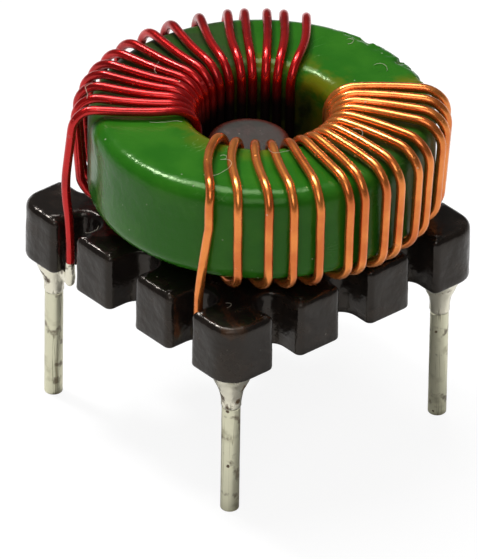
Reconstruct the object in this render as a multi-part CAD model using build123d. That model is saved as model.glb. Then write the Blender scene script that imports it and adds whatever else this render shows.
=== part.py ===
from build123d import *
import math
import os

# Toroidal inductor with two windings on a moulded four pin header, in millimetres.
# +Z is up. The origin is the middle of the pin pattern, level with the pin tips.
# The front corner is at +X -Y, the right one at +X +Y, the back one at -X +Y, the left one at -X -Y.

# Driving dimensions of the header
pin_pitch = 15.24
pin_free_length = 9.15
header_margin = 1.58
header_thickness = 3.5
corner_lobe_width = 3.4
side_gap_width = 1.7
middle_gap_width = 2.0
notch_depth = 2.25
header_corner_radius = 1.5
lobe_mouth_radius = 0.5
header_top_radius = 0.45
post_height = 4.7
post_edge_radius = 0.35

# Driving dimensions of the pins and the solder
pin_diameter = 1.06
pin_root_width = 0.8
pin_cover = 1.3
solder_height = 2.35
solder_spread = 0.75
solder_waist_height = 1.05
solder_waist_spread = 0.19
solder_foot_wall = 0.04
solder_wall = 0.14
solder_climb = 1.0

# Driving dimensions of the coated ring and where it lies over the header
ring_outer_diameter = 19.3
ring_bore_diameter = 8.0
ring_height = 5.75
ring_edge_radius = 1.0
coating_thickness = 0.3
ring_centre_x = 0.46
ring_centre_y = 0.53

# Driving dimensions of the wire, and its clearances
wire_diameter = 0.52
wire_flats = 12
wire_clearance = 0.02
strand_clearance = 0.025
crossing_clearance = 0.12
post_clearance = 0.41
strand_straight = 0.6

# A corner with a wider angle than this, in degrees, stays a single mitre
mitre_angle = 130

# Each winding's turns are wound by hand, so they lie unevenly. An inner step is in widths of the
# packed wire and an outer step in degrees, both round the ring from the hidden lead's turn on.
red_inner_middle = 180.7
red_inner_steps = (1.43, 1.19, 1.31, 1.13, 1.31, 1.19, 1.13, 1.07, 1, 1, 1, 1, 1, 1)
red_outer_middle = 181.5
red_outer_steps = (7.5, 5.5, 7.5, 5.5, 10, 11, 9, 10, 8, 8, 7, 8, 8, 8)
copper_inner_middle = -4.2
copper_inner_steps = (1, 1, 1, 1.05, 1.01, 1.01, 1, 1, 1.01, 1.16, 1.49, 1.37, 1.61, 1.55)
copper_outer_middle = -0.6
copper_outer_steps = (7, 7, 7, 11, 7, 9, 6.3, 8.4, 5.3, 10, 8.5, 7.8, 9.7, 9.2)

# How far the loose outer strands, the stiff wire's bends and the leads in view stand off the ring
red_slack_start = 0.0
red_slack_end = 0.45
copper_slack_start = 0.33
copper_slack_end = 0.0
bend_lift = 0.13
red_lead_bow = 0.9
copper_lead_bow = 0.15
lead_bow_height = 1.3

# Where the leads lie in the notches and under the corner lobes. The front one leans into its notch.
lead_shift = 0.35
lead_inset = 0.8
front_lead_lean = 0.2
front_lead_depth = 0.85
lead_entry = 0.65
lead_drop = 0.25

# Values worked out from the dimensions above
half_pitch = pin_pitch / 2
header_size = pin_pitch + 2 * header_margin
half_header = header_size / 2
corner_gap = half_header - corner_lobe_width - side_gap_width / 2
underside = pin_free_length
header_top = underside + header_thickness
pin_shoulder = underside - solder_height
pin_root_top = header_top - pin_cover
pin_root_reach = pin_root_width / math.sqrt(2)
wire_radius = wire_diameter / 2
wire_stand_off = wire_radius + wire_clearance
ring_bottom = header_top + 2 * wire_clearance + 2 * wire_diameter + crossing_clearance
ring_outer_radius = ring_outer_diameter / 2
ring_bore_radius = ring_bore_diameter / 2
wire_low = ring_bottom - wire_stand_off
wire_high = ring_bottom + ring_height + wire_stand_off + bend_lift
wire_inside = ring_bore_radius - wire_stand_off
wire_outside = ring_outer_radius + wire_stand_off
packed_step = math.degrees((wire_diameter + strand_clearance) / wire_inside)
lead_crossing = header_top + wire_stand_off
lead_root = underside - wire_stand_off - lead_drop
post_radius = wire_inside - wire_radius - math.hypot(ring_centre_x, ring_centre_y) - post_clearance

# A square corner of the wire becomes three even folds round the ring's rounded edge
bend_middle = 1 / (1 + math.tan(math.radians(60)))
bend_reach = 2 * bend_middle * (ring_edge_radius + wire_stand_off)
radial_start = bend_reach + strand_straight

# Which way each corner of the header lies
corners = {"front": (1, -1), "right": (1, 1), "back": (-1, 1), "left": (-1, -1)}


def disc(diameter, height, bottom):
    """Upright cylinder on the origin's axis, standing on the given level."""
    cylinder = Cylinder(diameter / 2, height, align=(Align.CENTER, Align.CENTER, Align.MIN))
    return Pos(0, 0, bottom) * cylinder


def pin_place(name):
    """Where a corner's pin stands."""
    x, y = corners[name]
    return Pos(x * half_pitch, y * half_pitch, 0)


def pin_root(name):
    """A pin's square root, which grips in a blind hole of the header."""
    length = pin_root_top - pin_shoulder
    root = Box(pin_root_width, pin_root_width, length, align=(Align.CENTER, Align.CENTER, Align.MIN))
    return pin_place(name) * Pos(0, 0, pin_shoulder) * root


def notch_point(name, height, deeper=0):
    """A point in the notch beside a corner lobe, where a lead comes down, at a height."""
    x, y = corners[name]
    return Vector(x * (corner_gap + lead_shift), y * (half_header - lead_inset - deeper), height)


def header_outline():
    """The header's plan: a rounded square with three round ended notches in each side."""
    outline = Rectangle(header_size, header_size)
    gaps = ((-corner_gap, side_gap_width), (0.0, middle_gap_width), (corner_gap, side_gap_width))
    for place, width in gaps:
        straight = notch_depth - width / 2
        mouth = Rectangle(width, straight, align=(Align.CENTER, Align.MAX))
        notch = mouth + Pos(0, -straight) * Circle(width / 2)
        for side in range(4):
            outline -= Rot(0, 0, 90 * side) * Pos(place, half_header) * notch
    near_side = half_header - lobe_mouth_radius / 2
    rim = [point for point in outline.vertices() if max(abs(point.X), abs(point.Y)) > near_side]
    mouths = [point for point in rim if min(abs(point.X), abs(point.Y)) < near_side]
    outline = fillet(mouths, lobe_mouth_radius)
    outer = [point for point in outline.vertices() if min(abs(point.X), abs(point.Y)) > near_side]
    return fillet(outer, header_corner_radius)


def make_header():
    """One black moulding: twelve lobes round a slab, blind holes for the pins and a post in the bore."""
    slab = Pos(0, 0, underside) * extrude(header_outline(), header_thickness)
    slab = fillet(slab.faces().sort_by(Axis.Z)[-1].edges(), header_top_radius)
    post = disc(2 * post_radius, post_height, header_top)
    post = fillet(post.edges().sort_by(Axis.Z)[-1], post_edge_radius)
    header = slab + post
    for name in corners:
        header -= pin_root(name)
    return header


def make_pin(name):
    """A round tinned pin with its square root."""
    return pin_place(name) * disc(pin_diameter, pin_shoulder, 0) + pin_root(name)


def ring(outer_radius, bore_radius, bottom, height, edge_radius):
    """A ring of square section with rounded edges."""
    middle = (outer_radius + bore_radius) / 2
    section = RectangleRounded(outer_radius - bore_radius, height, edge_radius)
    section = Plane.XZ * Pos(middle, bottom + height / 2) * section
    return Pos(ring_centre_x, ring_centre_y, 0) * revolve(section, Axis.Z)


def make_ferrite_core():
    """The pressed core inside the coat."""
    return ring(
        ring_outer_radius - coating_thickness,
        ring_bore_radius + coating_thickness,
        ring_bottom + coating_thickness,
        ring_height - 2 * coating_thickness,
        ring_edge_radius - coating_thickness,
    )


def make_core_coating():
    """The closed coat round the core."""
    return ring(ring_outer_radius, ring_bore_radius, ring_bottom, ring_height, ring_edge_radius)


def on_ring(radius, angle, height):
    """A point at a radius and an angle round the ring's own axis."""
    turn = math.radians(angle)
    return Vector(
        ring_centre_x + radius * math.cos(turn),
        ring_centre_y + radius * math.sin(turn),
        height,
    )


def angles(middle, steps):
    """The angles of all the turns, from the middle of their stretch and the steps."""
    places = [middle - sum(steps) / 2]
    for step in steps:
        places.append(places[-1] + step)
    return places


def winding_corners(inner_angles, outer_angles, slack_start, slack_end):
    """The corners of all the turns, from the top of the first inner strand to the last outer bend."""
    route = []
    last = len(inner_angles) - 1
    for index, (inner, outer) in enumerate(zip(inner_angles, outer_angles)):
        slack = slack_start + (slack_end - slack_start) * index / last
        if index > 0:
            route.append(on_ring(wire_inside + radial_start, inner, wire_low))
            route.append(on_ring(wire_inside, inner, wire_low))
        route.append(on_ring(wire_inside, inner, wire_high))
        route.append(on_ring(wire_inside + radial_start, inner, wire_high))
        route.append(on_ring(wire_outside + bend_lift + slack, outer, wire_high))
        if index < last:
            route.append(on_ring(wire_outside, outer, wire_low))
    return route


def lead_end(name):
    """The end of a lead: from beside the pin's root, under the lobe, to the foot of the notch."""
    x, y = corners[name]
    root = Vector(x * half_pitch, y * half_pitch, lead_root)
    foot = notch_point(name, lead_root, front_lead_depth if name == "front" else 0)
    beside = pin_root_reach + wire_stand_off
    return [root + (foot - root).normalized() * beside, foot]


def hidden_lead(name, inner):
    """The lead that goes up a notch, across the header under the ring and to the first inner strand."""
    shoulder = notch_point(name, lead_crossing)
    return lead_end(name) + [shoulder, on_ring(wire_inside, inner, lead_crossing)]


def lead_in_view(name, outer, bow):
    """The lead that comes down the ring's side from the last outer bend and through a notch to the pin."""
    side = on_ring(wire_outside + bow, outer, ring_bottom + lead_bow_height)
    entry = notch_point(name, header_top - lead_entry, front_lead_lean if name == "front" else 0)
    return [side, entry] + lead_end(name)[::-1]


def folded(route):
    """The route with each square corner turned in three even folds."""
    points = [route[0]]
    for before, corner, after in zip(route, route[1:], route[2:]):
        back = (before - corner).normalized() * bend_reach
        ahead = (after - corner).normalized() * bend_reach
        if back.get_angle(ahead) > mitre_angle:
            points.append(corner)
        else:
            points += [corner + back, corner + (back + ahead) * bend_middle, corner + ahead]
    return points + [route[-1]]


def first_ring(point, direction):
    """The corners of the wire's section round its first point. They lie on the round wire's surface."""
    section = Plane(origin=point, z_dir=direction)
    turns = [2 * math.pi * index / wire_flats for index in range(wire_flats)]
    return [section.from_local_coords(Vector(math.cos(t), math.sin(t), 0) * wire_radius) for t in turns]


def next_ring(ring, point, direction, following):
    """The section's corners carried along one run to the mitre plane at its end."""
    across = (direction + following).normalized()
    return [corner + direction * ((point - corner).dot(across) / direction.dot(across)) for corner in ring]


def wire(route):
    """A wire along the folded route. Its section has flats, so that both windings together
    stay under 12,000 triangles."""
    points = folded(route)
    runs = [(end - start).normalized() for start, end in zip(points, points[1:])]
    rings = [first_ring(points[0], runs[0])]
    for point, run, following in zip(points[1:], runs, runs[1:] + runs[-1:]):
        rings.append(next_ring(rings[-1], point, run, following))
    faces = [Face(Wire.make_polygon(ring, close=True)) for ring in (rings[0], rings[-1])]
    for near, far in zip(rings, rings[1:]):
        for index in range(wire_flats):
            flat = [near[index - 1], near[index], far[index], far[index - 1]]
            faces.append(Face(Wire.make_polygon(flat, close=True)))
    return Solid(Shell(faces))


def make_red_winding():
    """The red winding, from the back pin to the left pin."""
    inner = angles(red_inner_middle, [step * packed_step for step in red_inner_steps])
    outer = angles(red_outer_middle, red_outer_steps)
    turns = winding_corners(inner, outer, red_slack_start, red_slack_end)
    return wire(hidden_lead("back", inner[0]) + turns + lead_in_view("left", outer[-1], red_lead_bow))


def make_copper_winding():
    """The copper coloured winding, from the right pin to the front pin, wound the other way round."""
    inner = angles(copper_inner_middle, [step * packed_step for step in copper_inner_steps[::-1]])[::-1]
    outer = angles(copper_outer_middle, copper_outer_steps[::-1])[::-1]
    turns = winding_corners(inner, outer, copper_slack_start, copper_slack_end)
    return wire(hidden_lead("right", inner[0]) + turns + lead_in_view("front", outer[-1], copper_lead_bow))


def solder_cone():
    """The hollow sided cone of solder round a pin's root, on the origin's axis."""
    foot_radius = pin_root_reach + solder_foot_wall
    foot = (foot_radius, pin_shoulder)
    top = (foot_radius + solder_spread, underside)
    waist = (foot_radius + solder_waist_spread, pin_shoulder + solder_waist_height)
    walls = Polyline(top, (0, underside), (0, pin_shoulder), foot)
    profile = make_face(ThreePointArc(foot, waist, top) + walls)
    return revolve(Plane.XZ * profile, Axis.Z)


def solder_blob(name):
    """The solder round a lead's end, from beside the pin up into the notch."""
    radius = wire_radius + solder_wall
    beside, foot = lead_end(name)
    top = foot + Vector(0, 0, underside + solder_climb - foot.Z)
    blob = Pos(*foot) * Sphere(radius) + Pos(*top) * Sphere(radius)
    for start, end in ((beside, foot), (foot, top)):
        blob += extrude(Plane(origin=start, z_dir=end - start) * Circle(radius), (end - start).length)
    return blob


def make_solder(name, header, winding):
    """One solder joint, fitted to the header, the pin and the lead."""
    return pin_place(name) * solder_cone() + solder_blob(name) - header - pin_root(name) - winding


def main():
    """Write one STEP for each piece."""
    os.makedirs("parts", exist_ok=True)
    header = make_header()
    core = make_ferrite_core()
    red = make_red_winding()
    copper = make_copper_winding()
    nodes = {
        "base_header": header,
        "ferrite_core": core,
        "core_coating": make_core_coating() - core,
        "red_winding": red,
        "copper_winding": copper,
    }
    windings = {"front": copper, "right": copper, "back": red, "left": red}
    for name, winding in windings.items():
        nodes["pin_" + name] = make_pin(name)
        nodes["solder_" + name] = make_solder(name, header, winding)
    for name, shape in nodes.items():
        export_step(shape, "parts/" + name + ".step")


main()
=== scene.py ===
"""Looks of a toroidal inductor: a coated ring with a red and a copper coloured winding on a moulded
four pin header. Lengths are in metres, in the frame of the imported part."""

import math
import random

import bmesh
import bpy
from bpy.props import FloatProperty, FloatVectorProperty, IntProperty, PointerProperty
from mathutils import Matrix, Vector, noise
from mathutils.geometry import delaunay_2d_cdt


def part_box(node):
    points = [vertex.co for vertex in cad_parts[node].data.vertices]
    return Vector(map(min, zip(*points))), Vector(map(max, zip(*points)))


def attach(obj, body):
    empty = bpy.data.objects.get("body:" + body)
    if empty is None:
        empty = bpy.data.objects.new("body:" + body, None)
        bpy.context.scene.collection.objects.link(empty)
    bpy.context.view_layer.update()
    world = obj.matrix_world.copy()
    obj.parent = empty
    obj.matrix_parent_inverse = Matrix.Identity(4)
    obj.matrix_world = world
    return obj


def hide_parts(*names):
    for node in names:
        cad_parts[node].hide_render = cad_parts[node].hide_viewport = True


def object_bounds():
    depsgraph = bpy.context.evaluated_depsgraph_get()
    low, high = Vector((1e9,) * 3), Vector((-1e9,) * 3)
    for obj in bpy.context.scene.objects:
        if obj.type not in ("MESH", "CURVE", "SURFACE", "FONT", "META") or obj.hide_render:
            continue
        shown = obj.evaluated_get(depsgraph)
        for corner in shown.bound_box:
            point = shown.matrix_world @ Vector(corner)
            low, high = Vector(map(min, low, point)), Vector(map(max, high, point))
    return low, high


bl_info = {
    "name": "Toroidal inductor",
    "version": (1, 0, 0),
    "blender": (4, 5, 0),
    "location": "3D View > Sidebar > Inductor",
    "description": "Dresses the packed toroidal inductor: coat, windings, header, pins, solder and dust",
    "category": "Object",
}

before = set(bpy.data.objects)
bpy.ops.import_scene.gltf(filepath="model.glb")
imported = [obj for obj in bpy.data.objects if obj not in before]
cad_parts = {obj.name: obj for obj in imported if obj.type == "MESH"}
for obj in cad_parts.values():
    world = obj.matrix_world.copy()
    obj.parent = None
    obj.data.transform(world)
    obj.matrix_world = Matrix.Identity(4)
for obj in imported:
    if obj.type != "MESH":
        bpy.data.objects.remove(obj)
CAD_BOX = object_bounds()

MM = 0.001

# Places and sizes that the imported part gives
COAT_LOW, COAT_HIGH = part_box("core_coating")
HEADER_LOW, HEADER_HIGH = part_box("base_header")
PIN_LOW, PIN_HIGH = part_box("pin_front")
SOLDER_LOW, SOLDER_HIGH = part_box("solder_front")
RING_CENTRE = (COAT_LOW + COAT_HIGH) / 2
RING_RADIUS = (COAT_HIGH.y - COAT_LOW.y) / 2
RING_BOTTOM = COAT_LOW.z
RING_TOP = COAT_HIGH.z
HALF_HEADER = HEADER_HIGH.x
UNDERSIDE = HEADER_LOW.z
POST_TOP = HEADER_HIGH.z
PIN_RADIUS = (PIN_HIGH.x - PIN_LOW.x) / 2
HALF_PITCH = (PIN_HIGH.x + PIN_LOW.x) / 2
PIN_SHOULDER = SOLDER_LOW.z

# Which way each corner of the header lies
CORNERS = {"front": (1, -1), "right": (1, 1), "back": (-1, 1), "left": (-1, -1)}

# Header sizes that a box does not show
HEADER_THICKNESS = 3.5 * MM
HEADER_TOP = UNDERSIDE + HEADER_THICKNESS
CORNER_GAP = 4.95 * MM
SIDE_GAP_WIDTH = 1.7 * MM
MIDDLE_GAP_WIDTH = 2.0 * MM
NOTCH_DEPTH = 2.25 * MM
POST_RADIUS = 2.348 * MM
PIN_ROOT_WIDTH = 0.8 * MM
PIN_ROOT_TOP = PIN_HIGH.z

# Ring and wire sizes that a box does not show
RING_BORE_RADIUS = 4.0 * MM
WIRE_STAND_OFF = 0.28 * MM
STRAND_PITCH = 0.545 * MM
BEND_LIFT = 0.11 * MM
LEAD_SHIFT = 0.35 * MM
LEAD_INSET = 0.8 * MM
FRONT_LEAD_LEAN = 0.2 * MM
FRONT_LEAD_DEPTH = 0.85 * MM
LEAD_ENTRY = 0.65 * MM
LEAD_DROP = 0.12 * MM
LEAD_BOW_HEIGHT = 1.3 * MM

# Colours of small marks, as linear red, green and blue with alpha
CHIPPED_COAT = (0.1, 0.14, 0.05, 1.0)
COAT_SCRATCH = (0.2, 0.32, 0.13, 1.0)
COAT_DUST = (0.38, 0.42, 0.3, 1.0)
RED_SCUFF = (0.8, 0.2, 0.18, 1.0)
COPPER_SCUFF = (0.95, 0.5, 0.25, 1.0)
WIRE_DUST = (0.75, 0.6, 0.45, 1.0)
# Painted shade of the wires down the bore
WIRE_PAINTED_SHADE = (0.012, 0.005, 0.004, 1.0)
AMBER_DROP = (0.22, 0.07, 0.01, 1.0)
HEADER_HAZE = (0.03, 0.02, 0.014, 1.0)
# Painted reflections on the post's top: a dark red rim and a grey face
POST_RIM_RED_REFLECTION = (0.06, 0.012, 0.008, 1.0)
POST_FACE_GREY_REFLECTION = (0.05, 0.05, 0.046, 1.0)
# Pale specks on the header: partly dust, partly painted glints
HEADER_DUST_AND_GLINTS = (0.34, 0.31, 0.26, 1.0)
SOLDER_SPECK = (0.8, 0.76, 0.6, 1.0)
DARK_FERRITE = (0.012, 0.011, 0.011, 1.0)
PALE_FERRITE = (0.03, 0.028, 0.027, 1.0)

# The hand wound turns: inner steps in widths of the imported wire, outer steps in degrees
RED_TURNS = {
    "inner_middle": 180.7,
    "inner_steps": (1.43, 1.19, 1.31, 1.13, 1.31, 1.19, 1.13, 1.07, 1, 1, 1, 1, 1, 1),
    "outer_middle": 181.5,
    "outer_steps": (7.5, 5.5, 7.5, 5.5, 10, 11, 9, 10, 8, 8, 7, 8, 8, 8),
    "slack": (0.0, 0.45 * MM),
    "leads": ("back", "left"),
    "bow": 1.05 * MM,
    "lead_turn": 0.0,
    "lead_aside": 0.0,
}
COPPER_TURNS = {
    "inner_middle": -4.2,
    "inner_steps": (-1, -1, -1, -1.05, -1.01, -1.01, -1, -1, -1.01, -1.16, -1.49, -1.37, -1.61, -1.55),
    "outer_middle": -0.6,
    "outer_steps": (-7, -7, -7, -11, -7, -9, -6.3, -8.4, -5.3, -10, -8.5, -7.8, -9.7, -9.2),
    "slack": (0.33 * MM, 0.0),
    "leads": ("right", "front"),
    "bow": 0.15 * MM,
    "lead_turn": -1.8,
    "lead_aside": 0.05 * MM,
}


def length(name, description, default):
    """A length that a user can set."""
    return FloatProperty(name=name, description=description, default=default, unit="LENGTH", precision=6)


def colour(name, description, default):
    """A colour that a user can set, as linear red, green and blue."""
    return FloatVectorProperty(
        name=name, description=description, default=default, subtype="COLOR", size=3, min=0.0, max=1.0
    )


class CoatSettings(bpy.types.PropertyGroup):
    """Sizes and colours of the coated ring."""

    outer_radius: length("Outer radius", "Radius of the coated ring", RING_RADIUS)
    bore_radius: length("Bore radius", "Radius of the ring's bore", RING_BORE_RADIUS)
    edge_radius: length("Edge radius", "Rounding of the ring's four edges", 1.0 * MM)
    wave_depth: length("Wave depth", "How uneven the dipped coat is", 0.035 * MM)
    chip_depth: length("Chip depth", "How deep the chips at the bare stretch of the rim go", 0.4 * MM)
    green: colour("Green", "Coat", (0.016, 0.115, 0.006))
    pale_green: colour("Pale green", "Lighter patches of the coat", (0.028, 0.145, 0.009))
    # Colour of the painted shade laid down the bore and between close strands
    painted_shade: colour("Painted shade", "Painted shade down the bore and between close strands", (0.01, 0.009, 0.003))
    varnish: colour("Varnish", "Yellow varnish that ran from the windings", (0.13, 0.13, 0.004))


class WindingSettings(bpy.types.PropertyGroup):
    """Sizes and colours of the two windings."""

    red_radius: length("Red wire radius", "Radius of the red wire", 0.256 * MM)
    copper_radius: length("Copper wire radius", "Radius of the copper coloured wire", 0.265 * MM)
    bore_bend: length("Bore bend", "Bend of a strand over the bore's edge", 1.5 * MM)
    outer_bend: length("Outer bend", "Bend of a strand over the ring's outer edge", 1.7 * MM)
    foot_bend: length("Foot bend", "Bend of a lead under a lobe", 0.45 * MM)
    turn_start: length("Turn start", "Distance from the ring's axis where a strand starts to turn", 3.8 * MM)
    turn_end: length("Turn end", "Distance from the ring's axis where a strand has turned", 9.9 * MM)
    turn_left: FloatProperty(name="Turn left", description="How much it still turns there", default=0.7)
    wobble: length("Wobble", "How far a strand wanders from its line", 0.03 * MM)
    sides: IntProperty(name="Sides", description="Corners of the wire's section", default=16, min=6)
    red: colour("Red", "Red enamel", (0.58, 0.008, 0.007))
    dark_red: colour("Dark red", "Red enamel in its darker stretches", (0.36, 0.003, 0.003))
    copper: colour("Copper", "Clear enamel on copper", (0.95, 0.3, 0.06))
    dark_copper: colour("Dark copper", "Clear enamel in its darker stretches", (0.72, 0.17, 0.03))


class HeaderSettings(bpy.types.PropertyGroup):
    """Sizes and colours of the moulded header."""

    corner_radius: length("Corner radius", "Rounding of the header's four corners", 1.5 * MM)
    mouth_radius: length("Mouth radius", "Rounding of the lobes beside the notches", 0.44 * MM)
    top_radius: length("Top edge", "Rounding of the header's top edge", 0.45 * MM)
    foot_radius: length("Bottom edge", "Rounding of the header's bottom edge", 0.2 * MM)
    wave_depth: length("Wave depth", "How uneven the moulding and its varnish are", 0.05 * MM)
    black: colour("Black", "Moulded plastic", (0.0085, 0.0065, 0.0055))
    brown: colour("Brown", "Film of varnish on the lobes", (0.06, 0.022, 0.006))


class PinSettings(bpy.types.PropertyGroup):
    """Sizes and colours of the pins and their solder."""

    radius: length("Radius", "Radius of the round pins", PIN_RADIUS)
    tip_radius: length("Tip edge", "Rounding of the cut tip", 0.08 * MM)
    tin: colour("Tin", "Tinned surface", (0.74, 0.72, 0.53))
    dark_tin: colour("Dark tin", "Tarnished streaks", (0.22, 0.19, 0.1))
    solder: colour("Solder", "Bright solder", (0.82, 0.78, 0.63))
    flux: colour("Flux", "Brown flux specks", (0.09, 0.05, 0.015))


class DustSettings(bpy.types.PropertyGroup):
    """Size and colour of the lint."""

    fibre_radius: length("Fibre radius", "Radius of the lint fibres", 0.011 * MM)
    seed: IntProperty(name="Seed", description="Start of the fibres' random curls", default=7)
    white: colour("White", "Lint fibres", (0.6, 0.56, 0.44))


class StageSettings(bpy.types.PropertyGroup):
    """Camera and floor."""

    azimuth: FloatProperty(
        name="Azimuth",
        description="Direction of the camera round the object",
        default=math.radians(49.1),
        subtype="ANGLE",
    )
    elevation: FloatProperty(
        name="Elevation",
        description="Height of the camera over the floor, as an angle",
        default=math.radians(32.8),
        subtype="ANGLE",
    )
    roll: FloatProperty(
        name="Roll", description="Tilt of the camera", default=math.radians(0.85), subtype="ANGLE"
    )
    distance: length("Distance", "From the camera to the point that it looks at", 0.7)
    floor: colour("Floor", "Plain pale floor", (0.7, 0.7, 0.7))


class InductorSettings(bpy.types.PropertyGroup):
    """All the settings of the inductor."""

    coat: PointerProperty(type=CoatSettings)
    winding: PointerProperty(type=WindingSettings)
    header: PointerProperty(type=HeaderSettings)
    pins: PointerProperty(type=PinSettings)
    dust: PointerProperty(type=DustSettings)
    stage: PointerProperty(type=StageSettings)


def settings():
    """The sizes and colours of the scene that is open."""
    return bpy.context.scene.inductor


# Node helpers

def add(tree, kind, inputs=None, **options):
    """One node with its options, and with its inputs set to values or joined to other nodes."""
    made = tree.nodes.new(kind)
    for name, value in options.items():
        setattr(made, name, value)
    for socket, value in (inputs or {}).items():
        if isinstance(value, bpy.types.NodeSocket):
            tree.links.new(value, made.inputs[socket])
        else:
            made.inputs[socket].default_value = value
    return made


def math_node(tree, operation, first, second=0.0):
    """A sum, product or other calculation."""
    return add(tree, "ShaderNodeMath", {0: first, 1: second}, operation=operation).outputs[0]


def mix(tree, factor, first, second, blend="MIX"):
    """One colour laid over another by a mask."""
    made = add(tree, "ShaderNodeMix", {0: factor, 6: first, 7: second}, data_type="RGBA", blend_type=blend)
    return made.outputs[2]


def spread(tree, value, low, high, new_low=0.0, new_high=1.0):
    """A value stretched smoothly from one range to another."""
    inputs = {"Value": value, "From Min": low, "From Max": high, "To Min": new_low, "To Max": new_high}
    made = add(tree, "ShaderNodeMapRange", inputs, interpolation_type="SMOOTHSTEP")
    return made.outputs[0]


def rgba(three):
    """A colour with its alpha."""
    return (*three, 1.0)


def new_group(name, inputs, outputs):
    """An empty node group with named inputs and outputs."""
    tree = bpy.data.node_groups.new(name, "ShaderNodeTree")
    for label, kind, value in inputs:
        tree.interface.new_socket(label, in_out="INPUT", socket_type=kind).default_value = value
    for label, kind in outputs:
        tree.interface.new_socket(label, in_out="OUTPUT", socket_type=kind)
    return tree, tree.nodes.new("NodeGroupInput").outputs, tree.nodes.new("NodeGroupOutput").inputs


def object_place(tree, shift):
    """The place on the object, moved by a seed so that two uses of a pattern differ."""
    place = add(tree, "ShaderNodeTexCoord").outputs["Object"]
    return add(tree, "ShaderNodeVectorMath", {0: place, 1: shift}, operation="ADD").outputs[0]


def specks_group():
    """Small round specks, such as dust or flux: a mask."""
    inputs = (
        ("Scale", "NodeSocketFloat", 2000.0),
        ("Amount", "NodeSocketFloat", 0.3),
        ("Size", "NodeSocketFloat", 0.2),
        ("Shift", "NodeSocketVector", (0, 0, 0)),
    )
    tree, start, end = new_group("specks", inputs, (("Mask", "NodeSocketFloat"),))
    place = object_place(tree, start["Shift"])
    warp = add(tree, "ShaderNodeTexNoise", {"Vector": place, "Scale": start["Scale"], "Detail": 2.0})
    warp_reach = (2e-4, 2e-4, 2e-4)
    push = add(tree, "ShaderNodeVectorMath", {0: warp.outputs["Color"], 1: warp_reach}, operation="MULTIPLY")
    bent = add(tree, "ShaderNodeVectorMath", {0: place, 1: push.outputs[0]}, operation="ADD").outputs[0]
    cells = add(tree, "ShaderNodeTexVoronoi", {"Vector": bent, "Scale": start["Scale"]})
    chance = add(tree, "ShaderNodeSeparateColor", {0: cells.outputs["Color"]})
    size = math_node(tree, "MULTIPLY", start["Size"], chance.outputs["Green"])
    within = spread(tree, math_node(tree, "SUBTRACT", size, cells.outputs["Distance"]), 0.0, 0.06)
    chosen = math_node(tree, "LESS_THAN", chance.outputs["Red"], start["Amount"])
    tree.links.new(math_node(tree, "MULTIPLY", within, chosen), end["Mask"])
    return tree


def waves_group():
    """Large soft waves with a finer grain on them: a height."""
    inputs = (
        ("Scale", "NodeSocketFloat", 600.0),
        ("Fine scale", "NodeSocketFloat", 5000.0),
        ("Fine share", "NodeSocketFloat", 0.2),
    )
    tree, start, end = new_group("waves", inputs, (("Height", "NodeSocketFloat"),))
    place = add(tree, "ShaderNodeTexCoord").outputs["Object"]
    large = add(tree, "ShaderNodeTexNoise", {"Vector": place, "Scale": start["Scale"], "Detail": 2.0})
    fine = add(tree, "ShaderNodeTexNoise", {"Vector": place, "Scale": start["Fine scale"], "Detail": 4.0})
    part = math_node(tree, "MULTIPLY", fine.outputs[0], start["Fine share"])
    tree.links.new(math_node(tree, "ADD", large.outputs[0], part), end["Height"])
    return tree


def patches_group():
    """Two colours in soft patches: a colour and its mask."""
    inputs = (
        ("First", "NodeSocketColor", (0, 0, 0, 1)),
        ("Second", "NodeSocketColor", (1, 1, 1, 1)),
        ("Scale", "NodeSocketFloat", 500.0),
        ("Low", "NodeSocketFloat", 0.4),
        ("High", "NodeSocketFloat", 0.65),
        ("Shift", "NodeSocketVector", (0, 0, 0)),
    )
    outputs = (("Colour", "NodeSocketColor"), ("Mask", "NodeSocketFloat"))
    tree, start, end = new_group("patches", inputs, outputs)
    place = object_place(tree, start["Shift"])
    cloud = add(tree, "ShaderNodeTexNoise", {"Vector": place, "Scale": start["Scale"], "Detail": 5.0})
    mask = spread(tree, cloud.outputs[0], start["Low"], start["High"])
    tree.links.new(mix(tree, mask, start["First"], start["Second"]), end["Colour"])
    tree.links.new(mask, end["Mask"])
    return tree


def scratches_group():
    """Thin scratches that run one way: a mask."""
    inputs = (
        ("Scale", "NodeSocketFloat", 900.0),
        ("Amount", "NodeSocketFloat", 0.5),
        ("Turn", "NodeSocketVector", (0, 0, 0.6)),
        ("Stretch", "NodeSocketVector", (1, 0.06, 1)),
    )
    tree, start, end = new_group("scratches", inputs, (("Mask", "NodeSocketFloat"),))
    place = add(tree, "ShaderNodeTexCoord").outputs["Object"]
    turn = {"Vector": place, "Rotation": start["Turn"], "Scale": start["Stretch"]}
    turned = add(tree, "ShaderNodeMapping", turn).outputs[0]
    lines = add(tree, "ShaderNodeTexNoise", {"Vector": turned, "Scale": start["Scale"], "Detail": 3.0})
    ridge = math_node(tree, "ABSOLUTE", math_node(tree, "SUBTRACT", lines.outputs[0], 0.5))
    thin = spread(tree, ridge, 0.0, 0.012, 1.0, 0.0)
    where = add(tree, "ShaderNodeTexNoise", {"Vector": place, "Scale": 350.0, "Detail": 2.0}).outputs[0]
    gate = spread(tree, math_node(tree, "ADD", where, start["Amount"]), 0.95, 1.1)
    tree.links.new(math_node(tree, "MULTIPLY", thin, gate), end["Mask"])
    return tree


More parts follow.
